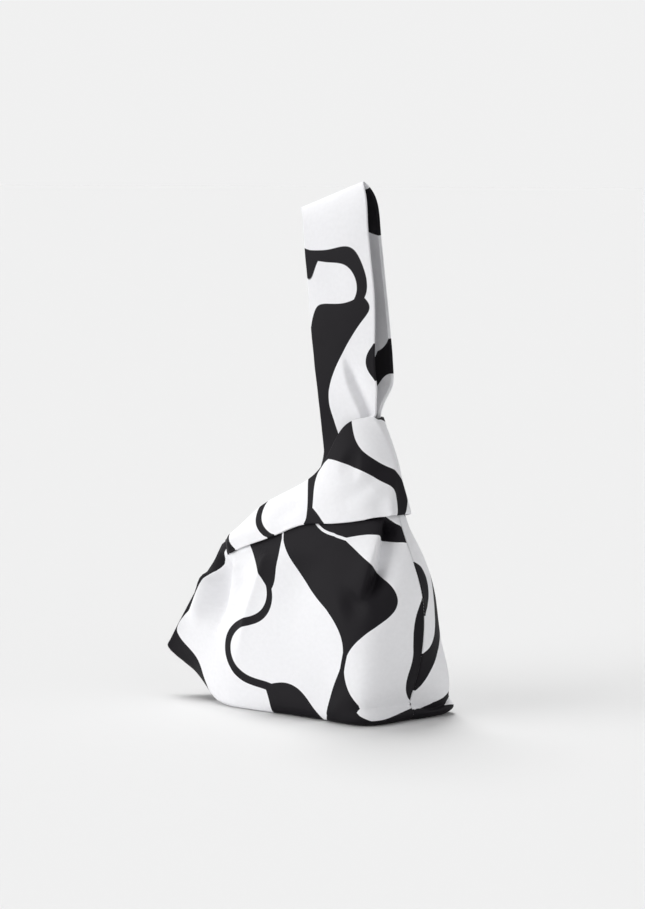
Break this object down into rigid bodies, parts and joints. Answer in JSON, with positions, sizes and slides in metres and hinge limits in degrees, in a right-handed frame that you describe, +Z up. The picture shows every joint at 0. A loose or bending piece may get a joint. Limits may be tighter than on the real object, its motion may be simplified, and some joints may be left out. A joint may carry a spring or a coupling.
{
  "type": "japanese knot bag",
  "caption": "Boxed cloth hand bag whose long strap handle is drawn up through its short one to close it; stands by itself and folds its handle over.",
  "frame": {"origin": "middle of the bag's footprint on the surface that it stands on", "axes": "+Z up along the handles, +X from the raised prow end to the boxed gusset, -Y towards the front panel"},
  "size_m": [0.2701, 0.108, 0.4781],
  "materials": {
    "outer_cloth": "smooth white cotton sateen with a black print",
    "interlining": "unbleached felted interlining, hidden between the cloths",
    "lining_cloth": "smooth white cotton with the same black print"
  },
  "bodies": {
    "bag": {"body_front_outer": "outer_cloth", "body_front_interlining": "interlining", "body_front_lining": "lining_cloth", "body_back_outer": "outer_cloth", "body_back_interlining": "interlining", "body_back_lining": "lining_cloth"},
    "short_handle": {"short_handle_front_outer": "outer_cloth", "short_handle_front_interlining": "interlining", "short_handle_front_lining": "lining_cloth", "short_handle_back_outer": "outer_cloth", "short_handle_back_interlining": "interlining", "short_handle_back_lining": "lining_cloth"},
    "long_handle": {"long_handle_front_outer": "outer_cloth", "long_handle_front_interlining": "interlining", "long_handle_front_lining": "lining_cloth", "long_handle_back_outer": "outer_cloth", "long_handle_back_interlining": "interlining", "long_handle_back_lining": "lining_cloth"}
  },
  "joints": [
    {"name": "long_handle_fold", "type": "hinge", "parent": "bag", "child": "long_handle", "pos_m": [0.054, 0, 0.2881], "axis": [1, 0, 0], "range_deg": [-90, 90]},
    {"name": "short_handle_lift", "type": "slide", "parent": "bag", "child": "short_handle", "axis": [0, 0, 1], "range_m": [0, 0.008]}
  ]
}
